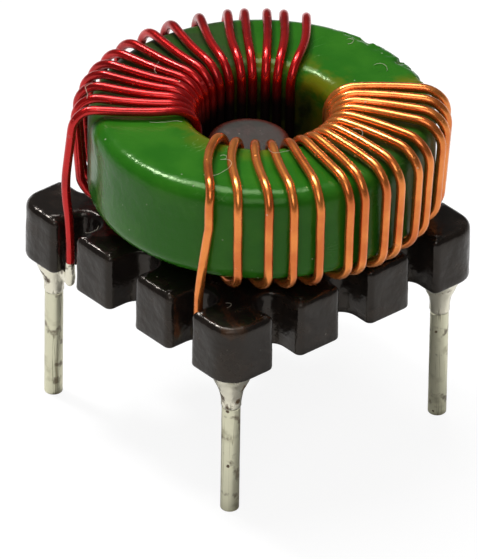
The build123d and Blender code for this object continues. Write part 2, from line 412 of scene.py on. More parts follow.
def bore_shade_group():
    """Painted shade that thickens down the ring's bore: a mask."""
    inputs = (
        ("Middle", "NodeSocketVector", (RING_CENTRE.x, RING_CENTRE.y, 0)),
        ("Radius", "NodeSocketFloat", 4.6 * MM),
        ("Top", "NodeSocketFloat", RING_TOP),
        ("Start", "NodeSocketFloat", 0.1 * MM),
        ("Depth", "NodeSocketFloat", 2.3 * MM),
    )
    tree, start, end = new_group("bore_shade", inputs, (("Mask", "NodeSocketFloat"),))
    place = add(tree, "ShaderNodeTexCoord").outputs["Object"]
    offset = add(tree, "ShaderNodeVectorMath", {0: place, 1: start["Middle"]}, operation="SUBTRACT")
    flat = add(tree, "ShaderNodeVectorMath", {0: offset.outputs[0], 1: (1, 1, 0)}, operation="MULTIPLY")
    away = add(tree, "ShaderNodeVectorMath", {0: flat.outputs[0]}, operation="LENGTH").outputs["Value"]
    within = math_node(tree, "LESS_THAN", away, start["Radius"])
    height = add(tree, "ShaderNodeSeparateXYZ", {0: place}).outputs["Z"]
    below = math_node(tree, "SUBTRACT", start["Top"], height)
    uneven = add(tree, "ShaderNodeTexNoise", {"Vector": place, "Scale": 900.0, "Detail": 3.0}).outputs[0]
    both_ways = math_node(tree, "SUBTRACT", uneven, 0.5)
    ragged = math_node(tree, "ADD", below, math_node(tree, "MULTIPLY", both_ways, 1.2 * MM))
    deep = spread(tree, ragged, start["Start"], start["Depth"])
    tree.links.new(math_node(tree, "MULTIPLY", deep, within), end["Mask"])
    return tree


GROUP_MAKERS = {
    "bore_shade": bore_shade_group,
    "specks": specks_group,
    "waves": waves_group,
    "patches": patches_group,
    "scratches": scratches_group,
}


def effect(tree, name, **values):
    """Place a shared effect in a material, with its own values. An underscore in a name is a space."""
    group = bpy.data.node_groups.get(name) or GROUP_MAKERS[name]()
    made = tree.nodes.new("ShaderNodeGroup")
    made.node_tree = group
    for label, value in values.items():
        socket = made.inputs[label.replace("_", " ")]
        if isinstance(value, bpy.types.NodeSocket):
            tree.links.new(value, socket)
        else:
            socket.default_value = value
    return made.outputs


def new_material(name):
    """A material with only its Principled shader."""
    material = bpy.data.materials.new(name)
    material.use_nodes = True
    return material, material.node_tree, material.node_tree.nodes["Principled BSDF"]


def bump(tree, shader, height, strength, distance):
    """Join a height to the shader's normal."""
    inputs = {"Height": height, "Strength": strength, "Distance": distance}
    tree.links.new(add(tree, "ShaderNodeBump", inputs).outputs[0], shader.inputs["Normal"])


def near(tree, point, inner, outer):
    """A mask that is 1 near a point of the object and fades to 0."""
    place = add(tree, "ShaderNodeTexCoord").outputs["Object"]
    gap = add(tree, "ShaderNodeVectorMath", {0: place, 1: point}, operation="DISTANCE").outputs["Value"]
    return spread(tree, gap, inner, outer, 1.0, 0.0)


# Materials

def coat_material():
    """Glossy green dip coat with slightly paler patches, yellow varnish at the windings, chips, dust, and
    painted shade down the bore and between close strands.
    """
    own = settings().coat
    material, tree, shader = new_material("green_dip_coat")
    green = effect(tree, "patches", First=rgba(own.green), Second=rgba(own.pale_green), Scale=300.0)["Colour"]
    stains = effect(tree, "patches", Scale=700.0, Low=0.42, High=0.6, Shift=(0.3, 0.1, 0.2))["Mask"]
    run = add(tree, "ShaderNodeAttribute", attribute_name="varnish").outputs["Fac"]
    stained = mix(tree, math_node(tree, "MULTIPLY", run, stains), green, rgba(own.varnish))
    bare = add(tree, "ShaderNodeAttribute", attribute_name="chip").outputs["Fac"]
    chipped = mix(tree, spread(tree, bare, 0.25, 0.7), stained, CHIPPED_COAT)
    # Painted shade: the coat darkens down the bore and between close strands
    shade_level = add(tree, "ShaderNodeAttribute", attribute_name="painted_shade").outputs["Fac"]
    shade = math_node(tree, "MULTIPLY", shade_level, spread(tree, stains, 0.0, 1.0, 1.0, 0.8))
    shaded = mix(tree, shade, chipped, rgba(own.painted_shade))
    marks = effect(tree, "scratches", Scale=1500.0, Amount=0.36, Stretch=(1, 0.3, 1))["Mask"]
    scratched = mix(tree, math_node(tree, "MULTIPLY", marks, 0.22), shaded, COAT_SCRATCH)
    dust = effect(tree, "specks", Scale=1600.0, Amount=0.22, Size=0.14)["Mask"]
    dusty = math_node(tree, "MULTIPLY", dust, 0.7)
    tree.links.new(mix(tree, dusty, scratched, COAT_DUST), shader.inputs["Base Color"])
    dull = math_node(tree, "MAXIMUM", math_node(tree, "MAXIMUM", dust, marks), spread(tree, bare, 0.2, 0.6))
    dull = math_node(tree, "MAXIMUM", dull, math_node(tree, "MULTIPLY", shade, 0.8))
    tree.links.new(spread(tree, dull, 0.0, 1.0, 0.2, 0.62), shader.inputs["Roughness"])
    shader.inputs["Specular IOR Level"].default_value = 0.3
    shader.inputs["Specular Tint"].default_value = (0.7, 1.0, 0.5, 1.0)
    height = effect(tree, "waves", Scale=620.0, Fine_scale=3400.0, Fine_share=0.3)["Height"]
    raised = math_node(tree, "ADD", height, math_node(tree, "MULTIPLY", dust, 0.4))
    bump(tree, shader, raised, 0.5, 0.12 * MM)
    return material


def enamel_material(name, bright, dark, scuff, metal):
    """Enamelled wire: tone that drifts along the wire, small scuffs and dust, and painted shade down the
    bore.
    """
    material, tree, shader = new_material(name)
    drift = effect(tree, "patches", First=rgba(dark), Second=rgba(bright), Scale=420.0, Low=0.35, High=0.6)
    marks = effect(tree, "specks", Scale=2200.0, Amount=0.35, Size=0.3, Shift=(0.5, 0.2, 0.7))["Mask"]
    scuffed = mix(tree, math_node(tree, "MULTIPLY", marks, 0.2), drift["Colour"], scuff)
    dust = effect(tree, "specks", Scale=2600.0, Amount=0.1, Size=0.17, Shift=(0.1, 0.4, 0.3))["Mask"]
    dusty = mix(tree, math_node(tree, "MULTIPLY", dust, 0.7), scuffed, WIRE_DUST)
    # Painted shade: the wire darkens to near black down the bore
    shade = effect(tree, "bore_shade")["Mask"]
    tree.links.new(mix(tree, shade, dusty, WIRE_PAINTED_SHADE), shader.inputs["Base Color"])
    worn = math_node(tree, "MAXIMUM", dust, math_node(tree, "MULTIPLY", marks, 0.6))
    worn = math_node(tree, "MAXIMUM", worn, shade)
    tree.links.new(spread(tree, worn, 0.0, 1.0, 0.27, 0.6), shader.inputs["Roughness"])
    shader.inputs["Metallic"].default_value = metal
    clear = math_node(tree, "MULTIPLY", math_node(tree, "SUBTRACT", 1.0, shade), 0.4)
    tree.links.new(clear, shader.inputs["Coat Weight"])
    shader.inputs["Coat Roughness"].default_value = 0.14
    height = effect(tree, "waves", Scale=1500.0, Fine_scale=7000.0, Fine_share=0.25)["Height"]
    bump(tree, shader, height, 0.35, 0.05 * MM)
    return material


def header_material():
    """Glossy black moulding with brownish haze, varnish on the front lobe, a painted reflection on the post's
    top (a dark red rim round a grey face), and dust specks that also serve as painted glints.
    """
    own = settings().header
    material, tree, shader = new_material("black_moulding")
    edge_spot = near(tree, (8.3 * MM, -8.3 * MM, HEADER_TOP), 0.3 * MM, 1.3 * MM)
    film = effect(tree, "patches", Scale=1300.0, Low=0.45, High=0.6, Shift=(0.2, 0.6, 0.1))["Mask"]
    filmed = mix(tree, math_node(tree, "MULTIPLY", edge_spot, film), rgba(own.black), rgba(own.brown))
    drop = near(tree, (5.3 * MM, -7.9 * MM, HEADER_TOP - 0.2 * MM), 0.25 * MM, 0.6 * MM)
    dropped = mix(tree, drop, filmed, AMBER_DROP)
    haze = effect(tree, "patches", Scale=650.0, Low=0.45, High=0.75, Shift=(0.7, 0.2, 0.4))["Mask"]
    hazed = mix(tree, math_node(tree, "MULTIPLY", haze, 0.6), dropped, HEADER_HAZE)
    # Painted reflection on the post's top: a dark red rim round a grey face
    rim = near(tree, (0, 0, POST_TOP), 2.25 * MM, 2.6 * MM)
    red_rim_reflected = mix(tree, rim, hazed, POST_RIM_RED_REFLECTION)
    face = near(tree, (0, 0, POST_TOP), 1.7 * MM, 2.1 * MM)
    grey_face_reflected = mix(tree, face, red_rim_reflected, POST_FACE_GREY_REFLECTION)
    # Pale specks: partly dust, partly painted glints
    dust = effect(tree, "specks", Scale=1500.0, Amount=0.2, Size=0.14, Shift=(0.9, 0.3, 0.6))["Mask"]
    dusty = mix(tree, math_node(tree, "MULTIPLY", dust, 0.8), grey_face_reflected, HEADER_DUST_AND_GLINTS)
    tree.links.new(dusty, shader.inputs["Base Color"])
    worn = math_node(tree, "MAXIMUM", dust, math_node(tree, "MULTIPLY", haze, 0.5))
    tree.links.new(spread(tree, worn, 0.0, 1.0, 0.17, 0.6), shader.inputs["Roughness"])
    shader.inputs["Specular IOR Level"].default_value = 0.4
    shader.inputs["Specular Tint"].default_value = (1.0, 0.9, 0.8, 1.0)
    height = effect(tree, "waves", Scale=650.0, Fine_scale=3000.0, Fine_share=0.3)["Height"]
    bump(tree, shader, height, 0.6, 0.16 * MM)
    return material


def tin_material():
    """Dull tinned wire with darker streaks along it and flux specks."""
    own = settings().pins
    material, tree, shader = new_material("tinned_pin")
    tin = rgba(own.tin)
    dark_tin = rgba(own.dark_tin)
    drawn = {"Turn": (0, 0, 0), "Stretch": (1, 1, 0.05)}
    streaks = effect(tree, "scratches", Scale=1500.0, Amount=0.62, **drawn)["Mask"]
    tone = effect(tree, "patches", First=tin, Second=dark_tin, Scale=900.0, Low=0.5, High=0.85)
    streaked = mix(tree, math_node(tree, "MULTIPLY", streaks, 0.7), tone["Colour"], dark_tin)
    flux = effect(tree, "specks", Scale=1900.0, Amount=0.25, Size=0.26, Shift=(0.2, 0.8, 0.5))["Mask"]
    blots = effect(tree, "patches", Scale=1100.0, Low=0.57, High=0.68, Shift=(0.4, 0.4, 0.1))["Mask"]
    flux = math_node(tree, "MAXIMUM", flux, math_node(tree, "MULTIPLY", blots, 0.75))
    tree.links.new(mix(tree, flux, streaked, rgba(own.flux)), shader.inputs["Base Color"])
    tree.links.new(spread(tree, flux, 0.0, 1.0, 0.9, 0.1), shader.inputs["Metallic"])
    tree.links.new(spread(tree, tone["Mask"], 0.0, 1.0, 0.3, 0.5), shader.inputs["Roughness"])
    height = effect(tree, "waves", Scale=900.0, Fine_scale=5000.0, Fine_share=0.35)["Height"]
    bump(tree, shader, height, 0.3, 0.05 * MM)
    return material


def solder_material():
    """Bright lumpy solder with brown flux in its hollows."""
    own = settings().pins
    material, tree, shader = new_material("bright_solder")
    bright = rgba(own.solder)
    flux = effect(tree, "patches", First=bright, Second=rgba(own.flux), Scale=1500.0, Low=0.52, High=0.66)
    specks = effect(tree, "specks", Scale=2600.0, Amount=0.3, Size=0.3, Shift=(0.6, 0.1, 0.9))["Mask"]
    tree.links.new(mix(tree, specks, flux["Colour"], SOLDER_SPECK), shader.inputs["Base Color"])
    tree.links.new(spread(tree, flux["Mask"], 0.0, 1.0, 0.95, 0.1), shader.inputs["Metallic"])
    tree.links.new(spread(tree, flux["Mask"], 0.0, 1.0, 0.22, 0.35), shader.inputs["Roughness"])
    height = effect(tree, "waves", Scale=1300.0, Fine_scale=6000.0, Fine_share=0.3)["Height"]
    bump(tree, shader, height, 0.5, 0.1 * MM)
    return material


def ferrite_material():
    """Dark sintered ferrite with a fine grain."""
    material, tree, shader = new_material("sintered_ferrite")
    tone = effect(tree, "patches", First=DARK_FERRITE, Second=PALE_FERRITE, Scale=3000.0)
    tree.links.new(tone["Colour"], shader.inputs["Base Color"])
    tree.links.new(spread(tree, tone["Mask"], 0.0, 1.0, 0.45, 0.7), shader.inputs["Roughness"])
    height = effect(tree, "waves", Scale=3000.0, Fine_scale=9000.0, Fine_share=0.4)["Height"]
    bump(tree, shader, height, 0.6, 0.05 * MM)
    return material


def fibre_material():
    """Pale lint."""
    material, tree, shader = new_material("pale_lint")
    white = settings().dust.white
    shade = tuple(0.7 * part for part in white)
    tone = effect(tree, "patches", First=rgba(shade), Second=rgba(white), Scale=1500.0)["Colour"]
    tree.links.new(tone, shader.inputs["Base Color"])
    shader.inputs["Roughness"].default_value = 0.6
    return material


def floor_material():
    """Plain pale floor that shows as white, and keeps the object's soft shadow."""
    material, tree, shader = new_material("plain_floor")
    shader.inputs["Base Color"].default_value = rgba(settings().stage.floor)
    shader.inputs["Roughness"].default_value = 0.9
    shader.inputs["Specular IOR Level"].default_value = 0.0
    path = add(tree, "ShaderNodeLightPath").outputs
    seen = math_node(tree, "MAXIMUM", path["Is Camera Ray"], path["Is Transmission Ray"])
    white = add(tree, "ShaderNodeEmission", {"Color": (1, 1, 1, 1), "Strength": 1.12})
    share = math_node(tree, "MULTIPLY", seen, 0.8)
    both = add(tree, "ShaderNodeMixShader", {0: share, 1: shader.outputs[0], 2: white.outputs[0]})
    tree.links.new(both.outputs[0], tree.nodes["Material Output"].inputs["Surface"])
    return material


# Mesh helpers

def new_object(name, mesh, material):
    """Put a mesh in the scene as a smooth piece of the object."""
    piece = bpy.data.objects.new(name, mesh)
    bpy.context.scene.collection.objects.link(piece)
    mesh.materials.append(material)
    mesh.shade_smooth()
    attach(piece, "root")
    return piece


def dress(node, material):
    """Give a CAD piece its material."""
    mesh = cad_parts[node].data
    mesh.materials.clear()
    mesh.materials.append(material)


def band(mesh, lower, upper):
    """Quads between two closed rings of corners."""
    for index in range(len(lower)):
        mesh.faces.new((lower[index - 1], lower[index], upper[index], upper[index - 1]))


def ring_of(mesh, points):
    """Corners along a closed ring."""
    return [mesh.verts.new(point) for point in points]


def finished_mesh(name, mesh):
    """A mesh datablock made of the built corners and faces, with its faces turned outwards."""
    bmesh.ops.recalc_face_normals(mesh, faces=mesh.faces)
    data = bpy.data.meshes.new(name)
    mesh.to_mesh(data)
    mesh.free()
    return data


def clamped(value):
    """A value held between 0 and 1."""
    return max(0.0, min(1.0, value))


def tube(name, path, radius, sides):
    """A closed round tube along a path of points."""
    mesh = bmesh.new()
    heading = (path[1] - path[0]).normalized()
    across = heading.orthogonal().normalized()
    rings = []
    for index, point in enumerate(path):
        before = path[max(index - 1, 0)]
        after = path[min(index + 1, len(path) - 1)]
        turned = (after - before).normalized()
        across = (across - turned * across.dot(turned)).normalized()
        up = turned.cross(across)
        turns = [2 * math.pi * side / sides for side in range(sides)]
        spokes = [(across * math.cos(turn) + up * math.sin(turn)) * radius for turn in turns]
        rings.append(ring_of(mesh, [point + spoke for spoke in spokes]))
    for lower, upper in zip(rings, rings[1:]):
        band(mesh, lower, upper)
    mesh.faces.new(rings[0][::-1])
    mesh.faces.new(rings[-1])
    return finished_mesh(name, mesh)


# Coated ring

def coat_section(own):
    """The ring's section: distances from its axis and heights, with round edges and divided flats."""
    inner = own.bore_radius
    outer = own.outer_radius
    edge = own.edge_radius
    centres = (
        (outer - edge, RING_TOP - edge, 0),
        (inner + edge, RING_TOP - edge, 90),
        (inner + edge, RING_BOTTOM + edge, 180),
        (outer - edge, RING_BOTTOM + edge, 270),
    )
    arc_steps = 8
    flat_steps = 13
    points = []
    for across, up, start in centres:
        for step in range(arc_steps + 1):
            turn = math.radians(start + 90 * step / arc_steps)
            points.append(Vector((across + edge * math.cos(turn), up + edge * math.sin(turn))))
    section = []
    for index, point in enumerate(points):
        following = points[(index + 1) % len(points)]
        section.append(point)
        if (index + 1) % (arc_steps + 1) == 0:
            section += [point.lerp(following, step / flat_steps) for step in range(1, flat_steps)]
    return section


def chip_amount(place, angle, across, up, own):
    """How strongly the coat is chipped at a place, from 0 to 1. Only the rim of the bare stretch is."""
    bare_start = 60
    bare_end = 114
    fade = 8
    stretch = min(angle - bare_start, bare_end - angle) / fade
    rim = Vector((across, up)) - Vector((own.outer_radius, RING_TOP))
    edge = 1.0 - rim.length / (1.15 * MM)
    grain = noise.fractal(place / (0.55 * MM), 0.9, 2.1, 4)
    return clamped(stretch) * clamped(edge * 1.3) * clamped(1.9 * grain + 0.2)


def make_coat():
    """The dip coated ring: one section all round, pushed in a little by waves and chips."""
    own = settings().coat
    steps = 330
    section = coat_section(own)
    mesh = bmesh.new()
    chip = mesh.verts.layers.float.new("chip")
    varnish = mesh.verts.layers.float.new("varnish")
    painted_shade = mesh.verts.layers.float.new("painted_shade")
    rings = []
    for step in range(steps):
        turn = 2 * math.pi * step / steps
        outwards = Vector((math.cos(turn), math.sin(turn), 0))
        corners = []
        for index, point in enumerate(section):
            before = section[index - 1]
            after = section[(index + 1) % len(section)]
            along = (after - before).normalized()
            normal = outwards * along.y - Vector((0, 0, along.x))
            place = Vector((RING_CENTRE.x, RING_CENTRE.y, point.y)) + outwards * point.x
            wave = 0.5 + 0.5 * noise.noise(place / (1.7 * MM))
            broken = chip_amount(place, math.degrees(turn), point.x, point.y, own)
            corner = mesh.verts.new(place - normal * (own.wave_depth * wave + own.chip_depth * broken))
            corner[chip] = broken
            corner[varnish] = varnish_amount(point.x, math.degrees(turn), own)
            # Painted shade down the bore and between close strands
            corner[painted_shade] = painted_shade_amount(point.x, point.y, math.degrees(turn), own)
            corners.append(corner)
        rings.append(corners)
    for index in range(steps):
        band(mesh, rings[index - 1], rings[index])
    piece = new_object("ring_coat", finished_mesh("ring_coat", mesh), coat_material())
    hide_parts("core_coating")


def varnish_amount(across, angle, own):
    """How much yellow varnish lies at a place: near the bore, and beside the first copper turns."""
    bore = 1.0 - (across - own.bore_radius) / (2.2 * MM)
    beside = 1.0 - abs(angle - 66) / 7
    return clamped(max(bore, beside))


def ramp(value, low, high):
    """A value between two ends, as a smooth share from 0 to 1."""
    share = clamped((value - low) / (high - low))
    return share * share * (3 - 2 * share)


def painted_shade_amount(across, height, angle, own):
    """How dark the painted shade is: down the bore, most on its far side, and between the closest strands."""
    depth = ramp(RING_TOP - height, 0.3 * MM, 2.2 * MM)
    in_bore = 1.0 - ramp(across, own.bore_radius + 0.05 * MM, own.bore_radius + 1.0 * MM)
    near_side = ramp(angle, 20, 40) * (1.0 - ramp(angle, 90, 100))
    bore = in_bore * depth * (1.0 - 0.45 * near_side)
    turned = (angle + 180) % 360 - 180
    red = ramp(angle, 138, 156) * (1.0 - ramp(angle, 236, 243))
    copper = ramp(turned, -25, 20) * (1.0 - ramp(turned, 54, 60))
    return max(bore, 0.8 * red, 0.65 * copper)


# Windings

def on_ring(radius, angle, height):
    """A point at a radius and an angle round the ring's own axis."""
    turn = math.radians(angle)
    return Vector((RING_CENTRE.x + radius * math.cos(turn), RING_CENTRE.y + radius * math.sin(turn), height))


def notch_point(name, height, deeper=0.0):
    """A point in the notch beside a corner lobe, where a lead comes down."""
    x, y = CORNERS[name]
    return Vector((x * (CORNER_GAP + LEAD_SHIFT), y * (HALF_HEADER - LEAD_INSET - deeper), height))


def lead_end(name):
    """The end of a lead: from beside the pin's root to the foot of the notch."""
    x, y = CORNERS[name]
    level = UNDERSIDE - WIRE_STAND_OFF - LEAD_DROP
    root = Vector((x * HALF_PITCH, y * HALF_PITCH, level))
    foot = notch_point(name, level, FRONT_LEAD_DEPTH if name == "front" else 0.0)
    beside = PIN_ROOT_WIDTH / math.sqrt(2) + WIRE_STAND_OFF
    return [root + (foot - root).normalized() * beside, foot]


def angles(middle, steps):
    """The angles of all the turns, from the middle of their stretch and the steps."""
    places = [middle - sum(steps) / 2]
    for step in steps:
        places.append(places[-1] + step)
    return places


def strand(section, inner, outer, own):
    """A strand across the ring. It leaves the bore straight outwards, then turns from its inner angle
    to its outer one. The section gives its distances from the ring's axis and its heights."""
    points = []
    for radius, height in section:
        share = clamped((radius - own.turn_start) / (own.turn_end - own.turn_start))
        share = (3 - own.turn_left) * share ** 2 + (own.turn_left - 2) * share ** 3
        points.append(on_ring(radius, inner + (outer - inner) * share, height))
    return points


def winding_path(turns, own):
    """The points of a whole winding, from the hidden lead to the lead in view."""
    tight = own.coat.edge_radius + WIRE_STAND_OFF
    inside = RING_BORE_RADIUS - WIRE_STAND_OFF
    outside = own.coat.outer_radius + WIRE_STAND_OFF
    low = RING_BOTTOM - WIRE_STAND_OFF
    high = RING_TOP + WIRE_STAND_OFF + BEND_LIFT
    middle = (RING_BOTTOM + RING_TOP) / 2
    packed = math.degrees(STRAND_PITCH / inside)
    inner = angles(turns["inner_middle"], [step * packed for step in turns["inner_steps"]])
    outer = angles(turns["outer_middle"], turns["outer_steps"])
    first, last = turns["leads"]
    crossing = HEADER_TOP + WIRE_STAND_OFF
    start = lead_end(first) + [notch_point(first, crossing), on_ring(inside, inner[0], crossing)]
    path = rounded(start + [on_ring(inside, inner[0], middle)], [own.winding.foot_bend, tight, tight])
    bends = [own.winding.bore_bend, own.winding.outer_bend]
    end = len(inner) - 1
    for index in range(end + 1):
        slack = turns["slack"][0] + (turns["slack"][1] - turns["slack"][0]) * index / end
        bend = Vector((outside + BEND_LIFT + slack, high))
        side = Vector((outside, low))
        if index == end:
            side = Vector((outside + turns["bow"], RING_BOTTOM + LEAD_BOW_HEIGHT))
        over = [Vector((inside, middle)), Vector((inside, high)), bend, bend.lerp(side, 0.5)]
        path += strand(rounded(over, bends), inner[index], outer[index], own.winding)[1:]
        if index < end:
            under = [bend.lerp(side, 0.5), side, Vector((inside, low)), Vector((inside, middle))]
            path += strand(rounded(under, [tight, tight]), inner[index + 1], outer[index], own.winding)[1:]
    lean = FRONT_LEAD_LEAN if last == "front" else 0.0
    side = on_ring(outside + turns["bow"], outer[-1] + turns["lead_turn"], RING_BOTTOM + LEAD_BOW_HEIGHT)
    entry = notch_point(last, HEADER_TOP - LEAD_ENTRY, lean) - Vector((turns["lead_aside"], 0, 0))
    down = [path[-1], side, entry] + lead_end(last)[::-1]
    return path + rounded(down, [2 * tight, 2 * tight, own.winding.foot_bend])[1:]


def rounded(route, reaches):
    """The route with its corners turned in arcs of the given reaches, and with points along its runs."""
    arc_steps = 9
    spacing = 0.45 * MM
    points = [route[0]]
    for before, corner, after, reach in zip(route, route[1:], route[2:], reaches):
        back = before - corner
        ahead = after - corner
        cut = min(reach, 0.48 * back.length, 0.48 * ahead.length)
        start = corner + back.normalized() * cut
        end = corner + ahead.normalized() * cut
        weight = math.sin(back.angle(ahead) / 2)
        points += along(points[-1], start, spacing)
        for step in range(1, arc_steps + 1):
            t = step / arc_steps
            shares = ((1 - t) ** 2, 2 * weight * t * (1 - t), t ** 2)
            points.append((start * shares[0] + corner * shares[1] + end * shares[2]) / sum(shares))
    return points + along(points[-1], route[-1], spacing)


def along(start, end, spacing):
    """Points on a straight run, without its start."""
    count = max(1, round((end - start).length / spacing))
    return [start.lerp(end, step / count) for step in range(1, count + 1)]


def wandering(points, depth, reach):
    """The points of a wire, moved a little sideways where the strands have room."""
    moved = []
    for point in points:
        outwards = Vector((point.x - RING_CENTRE.x, point.y - RING_CENTRE.y, 0))
        room = clamped((outwards.length - 5 * MM) / (3 * MM))
        sideways = Vector((-outwards.y, outwards.x, 0)).normalized()
        drift = noise.noise(Vector((point.x, point.y, point.z)) / reach)
        moved.append(point + sideways * (drift * depth * room))
    return moved


def make_winding(name, turns, radius, node, material):
    """One winding with both its leads, as one round wire."""
    own = settings()
    wander_reach = 1.9 * MM
    path = wandering(winding_path(turns, own), own.winding.wobble, wander_reach)
    piece = new_object(name, tube(name, path, radius, own.winding.sides), material)
    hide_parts(node)


# Header

def arc(centre, radius, start, end, steps):
    """Points on an arc, both ends included."""
    turns = [math.radians(start + (end - start) * step / steps) for step in range(steps + 1)]
    return [Vector((centre[0] + radius * math.cos(t), centre[1] + radius * math.sin(t))) for t in turns]


def header_side(inset, own):
    """One side of the header's plan, drawn inset from its true outline, from corner to corner."""
    edge = -HALF_HEADER
    corner = own.corner_radius
    mouth = own.mouth_radius
    centre = (edge + corner, edge + corner)
    points = arc(centre, corner - inset, 180, 270, 8)
    gaps = ((-CORNER_GAP, SIDE_GAP_WIDTH), (0.0, MIDDLE_GAP_WIDTH), (CORNER_GAP, SIDE_GAP_WIDTH))
    for place, width in gaps:
        half = width / 2
        points += arc((place - half - mouth, edge + mouth), mouth - inset, 270, 360, 5)
        points += arc((place, edge + NOTCH_DEPTH - half), half + inset, 180, 0, 14)
        points += arc((place + half + mouth, edge + mouth), mouth - inset, 180, 270, 5)
    return points


def run_counts(points, spacing):
    """Into how many pieces each run of the closed outline is divided."""
    counts = []
    for index, point in enumerate(points):
        gap = (points[(index + 1) % len(points)] - point).length
        counts.append(max(1, round(gap / spacing)))
    return counts


def header_plan(inset, own):
    """The whole plan, drawn inset: four like sides."""
    plan = []
    for side in range(4):
        turn = Matrix.Rotation(math.radians(90 * side), 2)
        plan += [turn @ point for point in header_side(inset, own)]
    return plan


def header_outline(plan, counts):
    """The plan with its runs divided by the given counts, which come from the true outline."""
    outline = []
    for index, point in enumerate(plan):
        following = plan[(index + 1) % len(plan)]
        outline += [point.lerp(following, step / counts[index]) for step in range(counts[index])]
    return outline


def header_rows(own):
    """Insets and heights of the header's wall, from its bottom edge to its top edge."""
    rows = []
    for step in range(4):
        turn = math.radians(90 * step / 3)
        inset = own.foot_radius * (1 - math.sin(turn))
        rows.append((inset, UNDERSIDE + own.foot_radius * (1 - math.cos(turn))))
    wall = 9
    low = UNDERSIDE + own.foot_radius
    high = HEADER_TOP - own.top_radius
    rows += [(0.0, low + (high - low) * step / wall) for step in range(1, wall + 1)]
    for step in range(1, 6):
        turn = math.radians(90 * step / 5)
        rows.append((own.top_radius * (1 - math.cos(turn)), high + own.top_radius * math.sin(turn)))
    return rows


def lies_inside(point, outline):
    """Whether a point lies inside a closed outline."""
    within = False
    for index, corner in enumerate(outline):
        before = outline[index - 1]
        if (corner.y > point.y) != (before.y > point.y):
            cross = corner.x + (point.y - corner.y) / (before.y - corner.y) * (before.x - corner.x)
            if point.x < cross:
                within = not within
    return within


def cap(mesh, rim, holes, height, spacing):
    """Fill a flat face between its rim and its holes with small triangles."""
    loops = [[corner.co.to_2d() for corner in loop] for loop in [rim] + holes]
    known = [corner for loop in [rim] + holes for corner in loop]
    points = [point for loop in loops for point in loop]
    edges = []
    start = 0
    for loop in loops:
        edges += [(start + index, start + (index + 1) % len(loop)) for index in range(len(loop))]
        start += len(loop)
    reach = round(HALF_HEADER / spacing)
    for row in range(-reach, reach + 1):
        for column in range(-reach, reach + 1):
            point = Vector((column + 0.5 * (row % 2), row)) * spacing
            if lies_inside(point, loops[0]) and not any(lies_inside(point, hole) for hole in loops[1:]):
                if min((point - other).length for other in points[:start]) > 0.6 * spacing:
                    points.append(point)
    places, _, faces, sources, _, _ = delaunay_2d_cdt(points, edges, [], 4, 1e-9)
    corners = []
    for place, source in zip(places, sources):
        old = [index for index in source if index < start]
        corners.append(known[old[0]] if old else mesh.verts.new((place.x, place.y, height)))
    for face in faces:
        mesh.faces.new([corners[index] for index in face])


def circle(mesh, radius, height, steps):
    """A ring of corners round the header's middle."""
    turns = [2 * math.pi * step / steps for step in range(steps)]
    return ring_of(mesh, [(radius * math.cos(t), radius * math.sin(t), height) for t in turns])


def add_post(mesh):
    """The post in the middle. Its foot's ring is given back, for the face around it."""
    steps = 72
    edge = 0.35 * MM
    foot = 0.15 * MM
    rows = []
    for step in range(4):
        turn = math.radians(90 * step / 3)
        rows.append((POST_RADIUS + foot * (1 - math.sin(turn)), HEADER_TOP + foot * (1 - math.cos(turn))))
    low = HEADER_TOP + foot
    high = POST_TOP - edge
    rows += [(POST_RADIUS, low + (high - low) * step / 6) for step in range(1, 7)]
    for step in range(1, 7):
        turn = math.radians(15 * step)
        rows.append((POST_RADIUS - edge * (1 - math.cos(turn)), high + edge * math.sin(turn)))
    flat = POST_RADIUS - edge
    rows += [(flat * share, POST_TOP) for share in (0.8, 0.6, 0.4, 0.2)]
    rings = [circle(mesh, radius, height, steps) for radius, height in rows]
    for lower, upper in zip(rings, rings[1:]):
        band(mesh, lower, upper)
    middle = mesh.verts.new((0, 0, POST_TOP))
    for index in range(steps):
        mesh.faces.new((rings[-1][index - 1], rings[-1][index], middle))
    return rings[0]


def add_pin_hole(mesh, name):
    """A square blind hole for a pin's root. Its mouth is given back."""
    x, y = CORNERS[name]
    half = PIN_ROOT_WIDTH / 2
    square = [(half, half), (-half, half), (-half, -half), (half, -half)]
    plan = [(x * HALF_PITCH + across, y * HALF_PITCH + up) for across, up in square]
    mouth = ring_of(mesh, [(*point, UNDERSIDE) for point in plan])
    top = ring_of(mesh, [(*point, PIN_ROOT_TOP) for point in plan])
    band(mesh, mouth, top)
    mesh.faces.new(top)
    return mouth


def roughen_header(mesh, depth):
    """Push the header's surface in by soft waves, less at its bottom, so that no edge is quite straight."""
    mesh.normal_update()
    moves = []
    for corner in mesh.verts:
        wave = 0.5 + 0.5 * noise.noise(corner.co / (1.3 * MM)) + 0.25 * noise.noise(corner.co / (0.5 * MM))
        share = clamped((corner.co.z - UNDERSIDE) / (0.4 * MM))
        moves.append((corner, corner.normal * (-depth * max(0.0, wave) * share)))
    for corner, move in moves:
        corner.co += move


def make_header():
    """The black moulding: lobes with softly rounded edges, the post, and blind holes for the pins."""
    own = settings().header
    mesh = bmesh.new()
    wall_spacing = 0.4 * MM
    counts = run_counts(header_plan(0.0, own), wall_spacing)
    rings = []
    for inset, height in header_rows(own):
        outline = header_outline(header_plan(inset, own), counts)
        rings.append(ring_of(mesh, [(*point, height) for point in outline]))
    for lower, upper in zip(rings, rings[1:]):
        band(mesh, lower, upper)
    foot = add_post(mesh)
    holes = [add_pin_hole(mesh, name) for name in CORNERS]
    top_spacing = 0.42 * MM
    underside_spacing = 0.8 * MM
    cap(mesh, rings[-1], [foot], HEADER_TOP, top_spacing)
    cap(mesh, rings[0], holes, UNDERSIDE, underside_spacing)
    bmesh.ops.recalc_face_normals(mesh, faces=mesh.faces)
    roughen_header(mesh, own.wave_depth)
    piece = new_object("header", finished_mesh("header", mesh), header_material())
    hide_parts("base_header")


# Pins and solder

